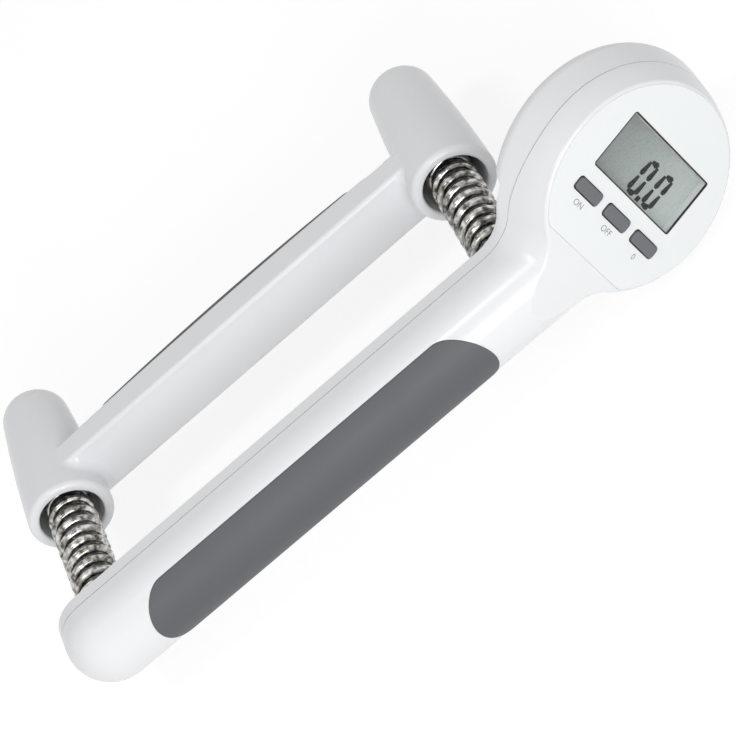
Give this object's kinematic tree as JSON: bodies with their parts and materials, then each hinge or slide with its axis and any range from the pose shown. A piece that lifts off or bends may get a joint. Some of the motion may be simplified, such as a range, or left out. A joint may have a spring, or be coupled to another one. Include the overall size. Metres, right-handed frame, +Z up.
{
  "type": "hand dynamometer",
  "caption": "Grip force gauge: a padded handle with a tilted digital display head, and a parallel squeeze bar whose tapered sleeves slide over sprung guide rods.",
  "frame": {"origin": "middle of the lowest level of the bounding box, with the gauge lying on its side", "axes": "+X along the handle towards the display head, +Y from the handle towards the squeeze bar, +Z up, square to the plane of symmetry; the display faces -Y and leans towards +X"},
  "size_m": [0.2052, 0.1012, 0.0609],
  "materials": {
    "white_abs": "moulded, glossy",
    "soft_rubber": "moulded, satin",
    "label_film": "printed polyester film, satin",
    "clear_window": "clear acrylic, polished",
    "display_glass": "reflective liquid crystal cell",
    "black_abs": "moulded, fine texture",
    "seal_rubber": "moulded",
    "board_laminate": "solder mask over glass-fibre laminate",
    "zinc_steel": "zinc plated",
    "key_steel": "pressed spring steel",
    "key_rubber": "moulded silicone, satin",
    "cell_steel": "nickel plated can",
    "contact_brass": "stamped",
    "beam_aluminium": "milled",
    "gauge_film": "polyimide film with foil grid",
    "white_acetal": "turned",
    "dark_acetal": "turned",
    "rod_steel": "ground and plated",
    "spring_chrome": "plated spring wire"
  },
  "bodies": {
    "housing": {"back_shell": "white_abs", "beam_screws": "zinc_steel", "board_screws": "zinc_steel", "cell_contact": "contact_brass", "cell_holder": "black_abs", "circuit_board": "board_laminate", "coin_cell": "cell_steel", "contact_strips": "seal_rubber", "display_window": "clear_window", "door_seal": "seal_rubber", "grip_inlay": "soft_rubber", "grip_shell": "white_abs", "guide_rod_foot": "rod_steel", "guide_rod_neck": "rod_steel", "key_domes": "key_steel", "label_panel": "label_film", "lcd_cell": "display_glass", "lcd_frame": "black_abs", "load_beam": "beam_aluminium", "rod_clips": "zinc_steel", "shell_screws": "zinc_steel", "spring_foot": "spring_chrome", "spring_neck": "spring_chrome", "spring_seat_foot": "white_acetal", "spring_seat_neck": "white_acetal", "strain_gauges": "gauge_film"},
    "bar": {"squeeze_bar": "white_abs", "bar_pad": "soft_rubber", "bush_foot": "dark_acetal", "bush_neck": "dark_acetal"},
    "key_lower_body": {"key_lower": "key_rubber"},
    "key_middle_body": {"key_middle": "key_rubber"},
    "key_upper_body": {"key_upper": "key_rubber"},
    "door": {"battery_door": "white_abs"}
  },
  "joints": [
    {"name": "bar_squeeze", "type": "slide", "parent": "housing", "child": "bar", "axis": [0, -1, 0], "range_m": [0, 0.02], "stiffness_N_per_m": 20000, "springref_m": -0.001, "deforming": ["spring_foot", "spring_neck"]},
    {"name": "key_lower_press", "type": "slide", "parent": "housing", "child": "key_lower_body", "axis": [-0.2706, 0.9627, 0], "range_m": [0, 0.0007], "stiffness_N_per_m": 2500, "springref_m": -0.0002},
    {"name": "key_middle_press", "type": "slide", "parent": "housing", "child": "key_middle_body", "axis": [-0.2706, 0.9627, 0], "range_m": [0, 0.0007], "stiffness_N_per_m": 2500, "springref_m": -0.0002},
    {"name": "key_upper_press", "type": "slide", "parent": "housing", "child": "key_upper_body", "axis": [-0.2706, 0.9627, 0], "range_m": [0, 0.0007], "stiffness_N_per_m": 2500, "springref_m": -0.0002},
    {"name": "door_twist", "type": "hinge", "parent": "housing", "child": "door", "pos_m": [0.07256, -0.02254, 0.03044], "axis": [0.2706, -0.9627, 0], "range_deg": [0, 45]}
  ]
}
